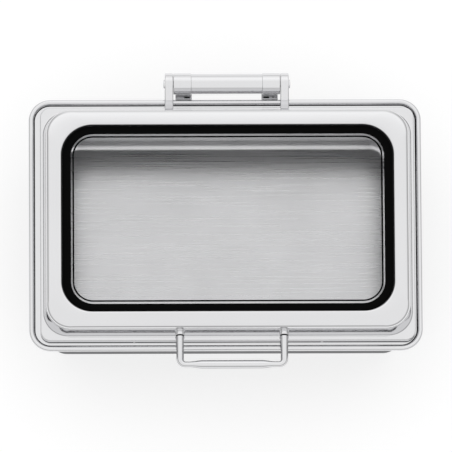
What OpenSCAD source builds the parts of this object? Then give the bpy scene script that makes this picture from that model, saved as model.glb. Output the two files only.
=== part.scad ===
// Chafing dish: a full size induction server with a hinged glass window lid.
// +X right, +Y to the hinge at the back, +Z up, origin under the middle of the base plate.

/* [Water pan] */
// Width over the rolled rim
rim_w = 575; // [560:1:620]
// Depth over the rolled rim
rim_d = 380; // [370:1:420]
// Corner radius of the rolled rim
rim_r = 32; // [24:1:40]
// Height of the top of the rolled rim
rim_top = 148; // [120:1:170]
// Diameter of the rolled rim
bead_d = 8; // [6:0.5:10]
// Drop from the top of the rim to the ledge
ledge_drop = 6; // [5:0.5:8]
// Width over the lower wall
wall_w = 515; // [511:1:518]
// Depth over the lower wall
wall_d = 320; // [312:1:321]
// Corner radius of the lower wall
wall_r = 26; // [20:1:32]
// Radius between the lower wall and the floor
floor_r = 5; // [4:1:14]
// Sheet thickness of the water pan
pan_sheet = 1.2; // [0.8:0.1:1.6]

/* [Base plate] */
// Width of the heat spreading core
core_w = 430; // [360:1:450]
// Depth of the heat spreading core
core_d = 240; // [200:1:260]
// Corner radius of the core
core_r = 30; // [15:1:45]
// Thickness of the core
core_t = 5; // [3:0.5:8]
// Sheet thickness of the steel cap under the core
cap_t = 1; // [0.6:0.1:1.5]

/* [Food pan] */
// Width over the food pan flange
food_w = 530; // [524:1:532]
// Depth over the food pan flange
food_d = 325; // [321:1:327]
// Corner radius of the food pan flange
food_r = 24; // [20:1:28]
// Width of the food pan mouth outside
mouth_w = 505; // [490:1:507]
// Depth of the food pan mouth outside
mouth_d = 300; // [285:1:304]
// Corner radius of the food pan mouth
mouth_r = 40; // [34:1:46]
// Depth of the food pan
food_depth = 65; // [40:1:85]
// Lean of the food pan walls over their depth
food_lean = 8; // [4:1:12]
// Radius between the food pan wall and its floor
food_floor_r = 12; // [8:1:16]
// Sheet thickness of the food pan
food_sheet = 0.9; // [0.6:0.1:1.2]

/* [Lid] */
// Width over the lid skirt
lid_w = 547; // [544:1:549]
// Depth over the lid skirt
lid_d = 352; // [348:1:353]
// Corner radius of the lid skirt
lid_r = 15; // [12:1:20]
// Height of the lid skirt
skirt_h = 8; // [7:0.5:10]
// Radius between the skirt and the flange
skirt_edge_r = 2; // [1:0.5:2.5]
// Width of the dome where it meets the flange
dome_w = 538; // [536:1:540]
// Depth of the dome where it meets the flange
dome_d = 338; // [336:1:341]
// Corner radius of the dome at the flange
dome_r = 35; // [30:1:40]
// Height of the dome over the flange
dome_rise = 36; // [34:1:44]
// Height of the leaning side wall of the dome
side_h = 20; // [19:0.5:22]
// Lean of the side wall over its height
side_lean = 3.5; // [2:0.1:5]
// Fullness of the shoulder: 2 is an ellipse, more makes a flatter crown and a tighter bend
shoulder_full = 5; // [2:0.5:6]
// Sheet thickness of the lid
lid_sheet = 1.2; // [0.8:0.1:1.4]
// Sideways place of the lid, hinge and handle off the middle of the water pan
lid_shift = 3; // [-3:0.5:3]
// Height of the silicone bumpers under the skirt
bumper_h = 2.5; // [1.5:0.5:3]
// Diameter of the silicone bumpers
bumper_d = 4; // [3.4:0.2:4.4]

/* [Window] */
// Width of the window opening
window_w = 485; // [470:1:490]
// Depth of the window opening
window_d = 282; // [270:1:287]
// Corner radius of the window opening
window_r = 45; // [40:1:55]
// Radius of the rolled window edge
lip_r = 2.5; // [2:0.1:3]
// Drop from the top of the lid to the end of the window edge
lip_drop = 6; // [4:0.5:7]
// Thickness of the glass
glass_t = 4; // [3:0.5:5]
// Reach of the glass under the window edge
glass_lap = 6; // [4:0.5:7]
// Thickness of the gasket over and under the glass
gasket_t = 1; // [0.6:0.1:1.5]
// Thickness of the retaining frame under the glass
retainer_t = 1; // [0.8:0.1:1.5]
// Width of the retaining frame inside the glass edge
retainer_lap = 4; // [3:0.5:5]
// Clearance between the retaining frame and the dome
retainer_gap = 0.3; // [0.2:0.1:0.6]

/* [Handle] */
// Distance between the two legs
leg_span = 152; // [120:1:180]
// Sideways place of the handle off the middle of the lid
handle_shift = 5.5; // [-6:0.5:6]
// Height of the handle over the flange
handle_h = 12; // [9:0.5:12]
// Reach of the grip axis in front of the rim
handle_reach = 25; // [21:1:40]
// Diameter of the legs
leg_d = 11; // [9:0.5:12]
// Diameter of the bar beside the bends
bar_d = 8; // [7:0.5:9]
// Diameter of the grip
grip_d = 12; // [10:0.5:14]
// Length of the thick part of the grip
grip_len = 86; // [60:1:90]
// Length of each taper beside the grip
taper_len = 20; // [12:1:21]
// Radius of the bends at the axis
bend_r = 9; // [7:0.5:12]
// Diameter of the ferrules
ferrule_d = 14; // [13:0.5:15]
// Length of the ferrules along the middle
ferrule_len = 4.5; // [4:0.5:8]
// Diameter of the black rings
ring_d = 12; // [11.5:0.5:12.5]
// Thickness of the black rings
ring_t = 1.2; // [0.8:0.1:2]
// Shank diameter of the handle screws
handle_screw_d = 5; // [4:0.5:6]
// Diameter of the handle screw heads
handle_head_d = 9; // [7.5:0.5:10]
// Thickness of the handle screw heads
handle_head_t = 3; // [2:0.2:4]
// Thickness of the wedge washers on the screw axis
washer_t = 2.4; // [2:0.2:3]
// Depth of the handle screws in the legs
handle_screw_bite = 14; // [8:1:20]

/* [Hinge] */
// Distance from the rear of the rim to the hinge axis
axis_back = 19.5; // [18:0.5:26]
// Height of the hinge axis over the top of the rim
axis_up = 12; // [10:0.5:14]
// Diameter of the hinge barrel
barrel_d = 30; // [26:0.5:32]
// Length of the hinge barrel between the collars
barrel_len = 104; // [98:1:120]
// Wall of the hinge barrel
barrel_wall = 2; // [1.5:0.1:3]
// Diameter of the collars
collar_d = 31.6; // [31:0.1:34]
// Length of the collars
collar_len = 26; // [22:0.5:28]
// Length of the collar spigots in the barrel
spigot_len = 6; // [4:0.5:10]
// Diameter of the hinge shaft
shaft_d = 10; // [8:0.5:12]
// Wall of the bushes in the collars
bush_wall = 3; // [2:0.5:4]
// Length of each rotary damper
damper_len = 42; // [30:1:44]
// Thickness of the lid arms
arm_t = 12.5; // [10:0.5:14]
// Diameter of the round end of the lid arms
arm_d = 32; // [28:0.5:34]
// Height of the lid arms beside the lid
arm_h = 8; // [7:0.5:10]
// Reach of the lid arms on to the flange
arm_foot = 3.5; // [2:0.5:5]
// Step from the round end of the lid arms down to their sloping top
arm_web_drop = 0.6; // [0.4:0.1:1]
// Thickness of the arm tabs behind the skirt
tab_t = 3.5; // [3:0.5:4]
// Shank diameter of the arm screws
arm_screw_d = 3; // [2.5:0.5:3.5]
// Diameter of the arm screw heads
arm_head_d = 4.5; // [4:0.1:5]
// Thickness of the arm screw heads
arm_head_t = 1.8; // [1.2:0.2:2.4]
// Diameter of the shaft caps
cap_d = 13; // [11:0.5:16]
// Length of the shaft caps
cap_len = 2.5; // [2:0.5:6]

/* [Hinge brackets] */
// Width of each bracket
bracket_w = 24; // [20:1:25]
// Thickness of the bracket plates
bracket_t = 4; // [3:0.5:5]
// Height of the bracket foot on the lower wall
bracket_foot_h = 36; // [30:1:50]
// Depth of the saddle under each collar
saddle_d = 20; // [16:1:24]
// Height of the saddle sides over the bracket plate
saddle_h = 10; // [8:0.5:12]
// Diameter of the bracket studs
stud_d = 5; // [4:0.5:6]
// Length of the studs past their nuts
stud_spare = 2; // [1:0.5:4]
// Width of the bracket nuts across flats
nut_af = 8; // [7:0.5:10]
// Thickness of the bracket nuts
nut_t = 4; // [3:0.5:5]
// Length of the slot in each bracket
slot_len = 9; // [6:0.5:10]
// Width of the slot in each bracket
slot_w = 2.6; // [2:0.2:3]
// Distance of the slot behind the rim
slot_back = 4.5; // [4:0.5:6]
// Diameter of the small hole in the right bracket
bracket_hole_d = 2; // [1.6:0.2:2.4]
// How far the brackets sit inwards of the middle of their collars
bracket_in = 2; // [0:0.5:2]

/* [Clearances] */
// Radial clearance of the hinge shaft in what it turns in
running_fit = 0.05; // [0.03:0.01:0.08]
// Clearance of pieces that are pushed or screwed together
push_fit = 0.05; // [0.02:0.01:0.1]
// Clearance over the rim under the lid arms
arm_clear = 0.8; // [0.5:0.1:1.2]
// Clearance between the lid arms and the collars
side_clear = 0.4; // [0.3:0.1:0.6]

/* [Hidden] */
$fn = 64;
SIDES = [-1, 1];
ARC_STEPS = 6;
CORNER_STEPS = 8;
SHOULDER_STEPS = 7;
OVERCUT = 1;

// Heights
pan_floor_z = core_t + cap_t;
ledge_z = rim_top - ledge_drop;
skirt_z = ledge_z + bumper_h;
flange_z = skirt_z + skirt_h;
lid_top = flange_z + dome_rise;
lip_z = lid_top - lip_drop;
handle_z = flange_z + handle_h;
axis_z = rim_top + axis_up;

// Window plates, stacked down from the rolled window edge
glass_z = lip_z - gasket_t - glass_t;
gasket_z = glass_z - gasket_t;
retainer_z = gasket_z - retainer_t;

// Hinge places
axis_y = rim_d / 2 + axis_back;
collar_x = barrel_len / 2 + collar_len / 2;
arm_x = barrel_len / 2 + collar_len + side_clear + arm_t / 2;
shaft_len = 2 * (arm_x + arm_t / 2);
bush_d = shaft_d + 2 * (running_fit + bush_wall);
barrel_bore_d = barrel_d - 2 * barrel_wall;
arm_low_z = rim_top + arm_clear;
skirt_back_y = lid_d / 2;
arm_screw_z = skirt_z + (skirt_h - skirt_edge_r) / 2;
arm_screw_step = arm_t / 4;
arm_slope = atan2(axis_z + arm_d / 2 - arm_low_z - arm_h, axis_y - skirt_back_y + arm_foot);

// Bracket places
bracket_top_z = rim_top - bead_d - push_fit;
bracket_x = collar_x - bracket_in;
wall_back_y = wall_d / 2;
stud_len = bracket_t + nut_t + stud_spare;
stud_step = bracket_foot_h / 4;
foot_mid_z = bracket_top_z - bracket_t / 2 - bracket_foot_h / 2;

// Handle places
grip_y = -(rim_d / 2 + handle_reach);
depth_share = (dome_d - window_d) / (dome_w - window_w);
front_lean = side_lean * depth_share;
front_slope = atan2(front_lean, side_h);
wall_at_handle = front_lean * handle_h / side_h;
leg_root_y = -(dome_d / 2 - wall_at_handle);
ferrule_y = leg_root_y - ferrule_len;
leg_back_y = ferrule_y - ring_t;
front_sheet = lid_sheet * depth_share;
dome_inner_y = leg_root_y + front_sheet;
washer_back_y = dome_inner_y + washer_t;

// Points of an arc about c with radius r from angle a to angle b
function arc(c, r, a, b, n = ARC_STEPS) =
  [for (i = [0 : n]) let (t = a + (b - a) * i / n) [c[0] + r * cos(t), c[1] + r * sin(t)]];
// Value that lies the share f of the way from a to b
function mix(a, b, f) = a + (b - a) * f;
// Corner points of a rounded rectangle, turning left from the +X side
function round_rect(w, d, r, n = CORNER_STEPS) = [
  for (k = [0 : 3])
    let (sx = (k == 0 || k == 3) ? 1 : -1, sy = k < 2 ? 1 : -1)
      each arc([sx * (w / 2 - r), sy * (d / 2 - r)], r, 90 * k, 90 * k + 90, n)
];

module round_plate(w, d, r, t) {
  linear_extrude(height = t) polygon(round_rect(w, d, r));
}

// Flat frame between two rounded rectangles
module round_frame(w, d, r, hole_w, hole_d, hole_r, t) {
  linear_extrude(height = t) difference() {
    polygon(round_rect(w, d, r));
    polygon(round_rect(hole_w, hole_d, hole_r));
  }
}

// Shell through stations [w, d, r, z], each a rounded rectangle. It runs up the outside and down the inside.
// A closed one joins its last station to its first, and a capped one has a flat floor on both.
module ring_loft(stations, capped = false) {
  rings = [for (s = stations) [for (p = round_rect(s[0], s[1], s[2])) [p[0], p[1], s[3]]]];
  n = len(rings[0]);
  m = len(rings);
  walls = [
    for (i = [0 : m - (capped ? 2 : 1)], j = [0 : n - 1])
      let (up = (i + 1) % m, next = (j + 1) % n)
        each [[i * n + j, up * n + j, i * n + next], [i * n + next, up * n + j, up * n + next]]
  ];
  caps = [[for (j = [0 : n - 1]) j], [for (j = [n - 1 : -1 : 0]) (m - 1) * n + j]];
  polyhedron(points = [for (ring = rings) each ring], faces = capped ? concat(caps, walls) : walls);
}

// Cylinder along X, centred on x
module bar_x(x, d, len) {
  translate([x, 0, 0]) rotate([0, 90, 0]) cylinder(d = d, h = len, center = true);
}

// Cylinder along Y from y_low to y_high
module bar_y(d, y_low, y_high) {
  translate([0, y_high, 0]) rotate([90, 0, 0]) cylinder(d = d, h = y_high - y_low);
}

module at_lid() { translate([lid_shift, 0, 0]) children(); }
module at_axis() { translate([lid_shift, axis_y, axis_z]) children(); }
module at_leg(side) { translate([lid_shift + handle_shift + side * leg_span / 2, 0, handle_z]) children(); }

// Half space behind the leaning front wall of the dome, set back from its outer face
module behind_front_wall(back) {
  size = 4 * ferrule_d;
  translate([0, leg_root_y + back, 0]) rotate([-front_slope, 0, 0])
    translate([-size / 2, 0, -size / 2]) cube([size, size, size]);
}

// Water pan: rolled rim, ledge, wall and floor
module water_pan() {
  t = pan_sheet;
  bead_r = bead_d / 2;
  bead_mid = [-bead_r, rim_top - bead_r];
  ledge_angle = 180 + asin((ledge_drop - bead_r) / bead_r);
  roll_end = -100;
  bend = [-floor_r, pan_floor_z + floor_r];
  function rim_station(p) = [rim_w + 2 * p[0], rim_d + 2 * p[0], rim_r + p[0], p[1]];
  function wall_station(p) = [wall_w + 2 * p[0], wall_d + 2 * p[0], wall_r + p[0], p[1]];
  stations = concat(
    [for (p = arc(bend, floor_r, -90, 0)) wall_station(p)],
    [wall_station([0, ledge_z - t])],
    [rim_station([-2 * bead_r + t, ledge_z - t])],
    [for (p = arc(bead_mid, bead_r - t, ledge_angle, roll_end, 2 * ARC_STEPS)) rim_station(p)],
    [for (p = arc(bead_mid, bead_r, roll_end, ledge_angle, 2 * ARC_STEPS)) rim_station(p)],
    [wall_station([-t, ledge_z])],
    [for (p = arc(bend, floor_r - t, 0, -90)) wall_station(p)]
  );
  color("silver") ring_loft(stations, capped = true);
}

// Heat spreading core under the floor
module base_core() {
  color("gainsboro") translate([0, 0, cap_t]) round_plate(core_w, core_d, core_r, core_t);
}

// Magnetic steel cap round the core
module base_cap() {
  cap_w = core_w + 2 * (push_fit + cap_t);
  cap_dp = core_d + 2 * (push_fit + cap_t);
  cap_r = core_r + push_fit + cap_t;
  color("lightgray") difference() {
    round_plate(cap_w, cap_dp, cap_r, pan_floor_z);
    translate([0, 0, cap_t])
      round_plate(core_w + 2 * push_fit, core_d + 2 * push_fit, core_r + push_fit, core_t + OVERCUT);
  }
}

// Silicone bumpers that carry the lid skirt
module lid_bumpers() {
  inset = bumper_d / 2;
  color("whitesmoke") at_lid() for (s = SIDES, t = SIDES) {
    translate([s * (lid_w / 2 - inset), t * lid_d / 4, ledge_z]) cylinder(d = bumper_d, h = bumper_h);
    translate([t * lid_w / 4, s * (lid_d / 2 - inset), ledge_z]) cylinder(d = bumper_d, h = bumper_h);
  }
}

// Bracket from the lower wall, under the rim, to the saddle under a collar
module hinge_bracket(side) {
  tongue_z = bracket_top_z - bracket_t;
  end_y = axis_y + saddle_d / 2;
  slot_x = -side * (bracket_w - slot_len) / 3;
  slot_y = rim_d / 2 + slot_back;
  color("darkgray") translate([lid_shift + side * bracket_x, 0, 0]) difference() {
    union() {
      translate([-bracket_w / 2, wall_back_y, tongue_z])
        cube([bracket_w, end_y - wall_back_y, bracket_t]);
      translate([-bracket_w / 2, wall_back_y, tongue_z - bracket_foot_h])
        cube([bracket_w, bracket_t, bracket_foot_h]);
      translate([-bracket_w / 2, axis_y - saddle_d / 2, bracket_top_z])
        cube([bracket_w, saddle_d, saddle_h]);
    }
    translate([0, axis_y, axis_z]) bar_x(0, collar_d, bracket_w + 2 * OVERCUT);
    for (t = SIDES)
      translate([0, 0, foot_mid_z + t * stud_step])
        bar_y(stud_d + 2 * push_fit, wall_back_y - OVERCUT, wall_back_y + bracket_t + OVERCUT);
    translate([slot_x - slot_len / 2, slot_y - slot_w / 2, tongue_z - OVERCUT])
      cube([slot_len, slot_w, bracket_t + 2 * OVERCUT]);
    if (side > 0) translate([-slot_x, slot_y, tongue_z - OVERCUT])
      cylinder(d = bracket_hole_d, h = bracket_t + 2 * OVERCUT);
  }
}
module hinge_bracket_left() { hinge_bracket(-1); }
module hinge_bracket_right() { hinge_bracket(1); }

module at_studs() {
  for (s = SIDES, t = SIDES)
    translate([lid_shift + s * bracket_x, 0, foot_mid_z + t * stud_step]) children();
}

// Studs welded on the lower wall
module bracket_studs() {
  color("silver") at_studs() bar_y(stud_d, wall_back_y, wall_back_y + stud_len);
}

module bracket_nuts() {
  nut_y = wall_back_y + bracket_t;
  color("silver") at_studs() difference() {
    translate([0, nut_y + nut_t, 0]) rotate([90, 0, 0]) cylinder(d = nut_af / cos(30), h = nut_t, $fn = 6);
    bar_y(stud_d + 2 * push_fit, nut_y - OVERCUT, nut_y + nut_t + OVERCUT);
  }
}

module hinge_barrel() {
  color("silver") at_axis() difference() {
    bar_x(0, barrel_d, barrel_len);
    bar_x(0, barrel_bore_d, barrel_len + 2 * OVERCUT);
  }
}

// Collar on the end of the barrel, with a spigot inside it
module hinge_collar(side) {
  spigot_x = side * (barrel_len / 2 - spigot_len / 2);
  color("silver") at_axis() difference() {
    union() {
      bar_x(side * collar_x, collar_d, collar_len);
      bar_x(spigot_x, barrel_bore_d - 2 * push_fit, spigot_len);
    }
    bar_x(side * barrel_len / 2, bush_d + 2 * push_fit, 2 * (collar_len + spigot_len));
  }
}
module hinge_collar_left() { hinge_collar(-1); }
module hinge_collar_right() { hinge_collar(1); }

// Plain bearing bush in a collar
module hinge_bush(side) {
  len = collar_len + spigot_len;
  color("ivory") at_axis() difference() {
    bar_x(side * (collar_x - spigot_len / 2), bush_d, len);
    bar_x(side * (collar_x - spigot_len / 2), shaft_d + 2 * running_fit, len + 2 * OVERCUT);
  }
}
module hinge_bush_left() { hinge_bush(-1); }
module hinge_bush_right() { hinge_bush(1); }

// Rotary damper in the barrel, against the spigot of its collar
module damper(side) {
  damper_x = side * (barrel_len / 2 - spigot_len - damper_len / 2);
  color("dimgray") at_axis() difference() {
    bar_x(damper_x, barrel_bore_d - 2 * push_fit, damper_len);
    bar_x(damper_x, shaft_d + 2 * running_fit, damper_len + 2 * OVERCUT);
  }
}
module damper_left() { damper(-1); }
module damper_right() { damper(1); }

// Lid profile stations
dome_run = (dome_w - window_w) / 2;
roll_mid = [dome_run - lip_r, lid_top - lip_r];
shoulder_w = roll_mid[0] - side_lean;
shoulder_h = dome_rise - side_h;
function dome_station(inset, z) =
  let (f = inset / dome_run)
    [mix(dome_w, window_w, f), mix(dome_d, window_d, f), mix(dome_r, window_r, f), z];
// Inset and height on the shoulder at angle a, off under its outer face
function shoulder_at(a, off) = [
  side_lean + shoulder_w * (1 - cos(a)) + off * cos(a),
  flange_z + side_h + (shoulder_h - off) * pow(sin(a), 2 / shoulder_full)
];
// Points over the shoulder from the side wall to the roll, closer together in the bend
function shoulder(off) = [for (i = [0 : SHOULDER_STEPS]) shoulder_at(90 * pow(i / SHOULDER_STEPS, 2), off)];
// Inset of the inside of the shoulder at height z
function inside_inset(z) =
  let (rise = (z - flange_z - side_h) / (shoulder_h - lid_sheet))
    shoulder_at(asin(pow(rise, shoulder_full / 2)), lid_sheet)[0];
// Outline that reaches outwards from the window edge, along the shoulder
function window_station(reach, z) = dome_station(dome_run - reach, z);
function skirt_station(inset, z) = [lid_w - 2 * inset, lid_d - 2 * inset, lid_r - inset, z];

// Lid pressing: skirt, flange, leaning side, rounded shoulder and rolled window edge
module lid_frame() {
  edge_mid = [skirt_edge_r, flange_z - skirt_edge_r];
  t = lid_sheet;
  inside = shoulder(t);
  outer = concat(
    [skirt_station(0, skirt_z)],
    [for (p = arc(edge_mid, skirt_edge_r, 180, 90, 2)) skirt_station(p[0], p[1])],
    [dome_station(0, flange_z)],
    [for (p = shoulder(0)) dome_station(p[0], p[1])],
    [for (a = [60, 30, 0]) dome_station(roll_mid[0] + lip_r * cos(a), roll_mid[1] + lip_r * sin(a))],
    [dome_station(dome_run, lip_z)]
  );
  inner = concat(
    [dome_station(dome_run - t, lip_z)],
    [for (a = [0, 45]) dome_station(roll_mid[0] + (lip_r - t) * cos(a), roll_mid[1] + (lip_r - t) * sin(a))],
    [for (i = [len(inside) - 1 : -1 : 0]) dome_station(inside[i][0], inside[i][1])],
    [dome_station(t - side_lean * t / side_h, flange_z - t)],
    [for (p = arc(edge_mid, skirt_edge_r - t, 90, 180, 2)) skirt_station(p[0], p[1])],
    [skirt_station(t, skirt_z)]
  );
  color("gainsboro") difference() {
    at_lid() ring_loft(concat(outer, inner));
    for (s = SIDES) at_leg(s)
      bar_y(handle_screw_d + 2 * push_fit, leg_root_y - ferrule_d, leg_root_y + ferrule_d);
    at_arm_screws() bar_y(arm_screw_d + 2 * push_fit, skirt_back_y - 2 * t, skirt_back_y + t);
  }
}

// Silicone channel round the edge of the glass
module window_gasket() {
  gasket_h = glass_t + 2 * gasket_t;
  edge = window_station(glass_lap + gasket_t, gasket_z);
  color("black") at_lid() difference() {
    translate([0, 0, gasket_z]) round_frame(
      edge[0], edge[1], edge[2],
      window_w - 2 * lid_sheet, window_d - 2 * lid_sheet, window_r - lid_sheet, gasket_h
    );
    glass_pane();
  }
}

module glass_pane() {
  edge = window_station(glass_lap, glass_z);
  translate([0, 0, glass_z]) round_plate(edge[0], edge[1], edge[2], glass_t);
}
module window_glass() {
  color("lightcyan", 0.4) at_lid() glass_pane();
}

// Retaining frame under the gasket, reaching the inside of the dome
module window_retainer() {
  edge = dome_station(inside_inset(gasket_z) + retainer_gap, retainer_z);
  color("silver") at_lid() translate([0, 0, retainer_z]) round_frame(
    edge[0], edge[1], edge[2],
    window_w - 2 * retainer_lap, window_d - 2 * retainer_lap, window_r - retainer_lap, retainer_t
  );
}

// Handle: two legs, two bends and a bar that swells to the grip
module handle() {
  leg_front_y = grip_y + bend_r;
  bar_half = leg_span / 2 - bend_r;
  thick = grip_len / 2;
  bend_d = (leg_d + bar_d) / 2;
  bar = [[0, 0], [0, bend_d / 2], [(bar_half - thick - taper_len) / 2, bar_d / 2],
         [bar_half - thick - taper_len, bar_d / 2], [bar_half - thick, grip_d / 2], [bar_half, grip_d / 2], [bar_half, 0]];
  profile = [for (p = bar) [p[1], p[0]]];
  color("whitesmoke") difference() {
    union() {
      for (s = SIDES) {
        at_leg(s) translate([0, leg_back_y, 0]) rotate([90, 0, 0])
          cylinder(d1 = leg_d, d2 = bend_d - 2 * push_fit, h = leg_back_y - leg_front_y + OVERCUT);
        at_leg(s) translate([-s * bend_r, leg_front_y, 0]) rotate([0, 0, s > 0 ? -90 : 180])
          rotate_extrude(angle = 90) translate([bend_r, 0]) circle(d = bend_d);
        at_leg(s) translate([-s * bend_r, grip_y, 0]) rotate([0, -90 * s, 0]) rotate_extrude() polygon(profile);
      }
    }
    for (s = SIDES) at_leg(s)
      bar_y(handle_screw_d + 2 * push_fit, leg_back_y - handle_screw_bite - OVERCUT, leg_back_y + OVERCUT);
  }
}

// Ferrule that stands the leg off the leaning wall
module handle_ferrule(side) {
  color("silver") at_leg(side) difference() {
    bar_y(ferrule_d, ferrule_y, leg_root_y + ferrule_d);
    behind_front_wall(0);
    bar_y(handle_screw_d + 2 * push_fit, ferrule_y - OVERCUT, leg_root_y + 2 * ferrule_d);
  }
}
module handle_ferrule_left() { handle_ferrule(-1); }
module handle_ferrule_right() { handle_ferrule(1); }

// Black ring between the ferrule and the leg
module handle_ring(side) {
  color("black") at_leg(side) difference() {
    bar_y(ring_d, leg_back_y, ferrule_y);
    bar_y(handle_screw_d + 2 * push_fit, leg_back_y - OVERCUT, ferrule_y + OVERCUT);
  }
}
module handle_ring_left() { handle_ring(-1); }
module handle_ring_right() { handle_ring(1); }

module handle_screws() {
  color("silver") for (s = SIDES) at_leg(s) {
    bar_y(handle_screw_d, leg_back_y - handle_screw_bite, washer_back_y + OVERCUT / 2);
    bar_y(handle_head_d, washer_back_y, washer_back_y + handle_head_t);
  }
}

// Wedge washers inside the dome
module handle_washers() {
  color("silver") for (s = SIDES) at_leg(s) difference() {
    intersection() {
      bar_y(ferrule_d, leg_root_y - ferrule_d, washer_back_y);
      behind_front_wall(front_sheet);
    }
    bar_y(handle_screw_d + 2 * push_fit, leg_root_y - 2 * ferrule_d, washer_back_y + OVERCUT);
  }
}

// Lid arm: round end on the shaft, sloping top, foot on the flange and tab behind the skirt
module hinge_arm(side) {
  foot_y = skirt_back_y - arm_foot;
  back_y = skirt_back_y + push_fit;
  web_r = arm_d / 2 - arm_web_drop;
  outline = [
    [axis_y, axis_z], [axis_y, axis_z + web_r], [axis_y - web_r * sin(arm_slope), axis_z + web_r * cos(arm_slope)],
    [foot_y, arm_low_z + arm_h], [foot_y, flange_z + push_fit], [back_y, flange_z + push_fit], [back_y, skirt_z],
    [back_y + tab_t, skirt_z], [back_y + tab_t, arm_low_z], [axis_y - web_r / 2, arm_low_z]
  ];
  color("silver") difference() {
    translate([lid_shift + side * arm_x, 0, 0]) union() {
      translate([0, axis_y, axis_z]) bar_x(0, arm_d, arm_t);
      translate([-arm_t / 2, 0, 0]) rotate([90, 0, 90]) linear_extrude(height = arm_t) polygon(outline);
    }
    at_axis() bar_x(side * arm_x, shaft_d + 2 * push_fit, 2 * arm_t);
    at_arm_screws() bar_y(arm_screw_d + 2 * push_fit, skirt_back_y - OVERCUT, skirt_back_y + tab_t + 2 * OVERCUT);
  }
}
module hinge_arm_left() { hinge_arm(-1); }
module hinge_arm_right() { hinge_arm(1); }

module at_arm_screws() {
  for (s = SIDES, t = SIDES)
    translate([lid_shift + s * arm_x + t * arm_screw_step, 0, arm_screw_z]) children();
}

// Screws from inside the skirt into the arm tabs
module arm_screws() {
  head_y = skirt_back_y - lid_sheet;
  color("silver") at_arm_screws() {
    bar_y(arm_screw_d, head_y - arm_head_t / 2, skirt_back_y + tab_t);
    bar_y(arm_head_d, head_y - arm_head_t, head_y);
  }
}

module hinge_shaft() {
  color("silver") at_axis() bar_x(0, shaft_d, shaft_len);
}

// Domed cap on the end of the shaft
module shaft_cap(side) {
  dome_h = cap_len / 2;
  ball_r = (pow(cap_d / 2, 2) + pow(dome_h, 2)) / (2 * dome_h);
  color("whitesmoke") at_axis() translate([side * shaft_len / 2, 0, 0]) rotate([0, 90 * side, 0]) {
    intersection() {
      cylinder(d = cap_d, h = cap_len);
      translate([0, 0, cap_len - ball_r]) sphere(r = ball_r);
    }
  }
}
module shaft_cap_left() { shaft_cap(-1); }
module shaft_cap_right() { shaft_cap(1); }

// Full size food pan hanging on the ledge by its flange
module food_pan() {
  t = food_sheet;
  floor_z = ledge_z - food_depth;
  bend = [-food_lean - food_floor_r, floor_z + food_floor_r];
  function mouth_station(p) = [mouth_w + 2 * p[0], mouth_d + 2 * p[0], mouth_r + p[0], p[1]];
  stations = concat(
    [for (p = arc(bend, food_floor_r, -90, 0)) mouth_station(p)],
    [mouth_station([0, ledge_z])],
    [for (z = [ledge_z, ledge_z + t]) [food_w, food_d, food_r, z]],
    [mouth_station([-t, ledge_z + t])],
    [for (p = arc(bend, food_floor_r - t, 0, -90)) mouth_station(p)]
  );
  color("lightgray") ring_loft(stations, capped = true);
}

water_pan();
base_core();
base_cap();
lid_bumpers();
hinge_bracket_left();
hinge_bracket_right();
bracket_studs();
bracket_nuts();
hinge_barrel();
hinge_collar_left();
hinge_collar_right();
hinge_bush_left();
hinge_bush_right();
damper_left();
damper_right();
lid_frame();
window_gasket();
window_glass();
window_retainer();
handle();
handle_ferrule_left();
handle_ferrule_right();
handle_ring_left();
handle_ring_right();
handle_screws();
handle_washers();
hinge_arm_left();
hinge_arm_right();
arm_screws();
hinge_shaft();
shaft_cap_left();
shaft_cap_right();
food_pan();
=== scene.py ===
"""Finish of a rectangular chafing dish: polished pan and lid, glass window, handle, hinge and studio."""

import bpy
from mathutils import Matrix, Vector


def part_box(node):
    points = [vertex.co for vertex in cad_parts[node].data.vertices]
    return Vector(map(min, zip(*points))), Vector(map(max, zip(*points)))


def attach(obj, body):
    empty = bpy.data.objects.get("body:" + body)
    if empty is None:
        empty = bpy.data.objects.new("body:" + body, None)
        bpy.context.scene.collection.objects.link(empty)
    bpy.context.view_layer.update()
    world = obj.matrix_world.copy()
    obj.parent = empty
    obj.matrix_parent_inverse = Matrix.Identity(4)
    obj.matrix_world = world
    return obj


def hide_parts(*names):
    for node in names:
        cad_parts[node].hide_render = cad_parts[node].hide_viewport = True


bl_info = {
    "name": "Chafing dish",
    "version": (1, 0, 0),
    "blender": (4, 5, 0),
    "location": "3D View > Sidebar > Chafing dish",
    "description": "Models the visible pieces of a chafing dish on its packed frame, and its studio",
    "category": "Object",
}

from math import asin, atan, cos, degrees, hypot, radians, sin, tau

import bmesh
import bpy
from bpy.props import FloatProperty, FloatVectorProperty, PointerProperty
from bpy.types import Operator, Panel, PropertyGroup
from mathutils import Matrix, Vector

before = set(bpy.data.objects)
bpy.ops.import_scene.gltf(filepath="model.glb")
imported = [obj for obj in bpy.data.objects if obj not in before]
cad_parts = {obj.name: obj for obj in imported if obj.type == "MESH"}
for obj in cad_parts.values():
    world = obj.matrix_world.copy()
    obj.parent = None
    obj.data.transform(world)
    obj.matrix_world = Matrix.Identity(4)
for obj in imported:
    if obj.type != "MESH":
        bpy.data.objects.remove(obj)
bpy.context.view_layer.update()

# Smoothness of the curves
CORNER_STEPS = 18
ROUND_STEPS = 64
ARC_STEPS = 10
FILLET_STEPS = 5
LIP_STEPS = 6
INNER_STEPS = 4
CAP_STEPS = 9
SMOOTH_ANGLE = radians(35)
MERGE = 1e-6
TOWER_STEP = 0.05

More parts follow.
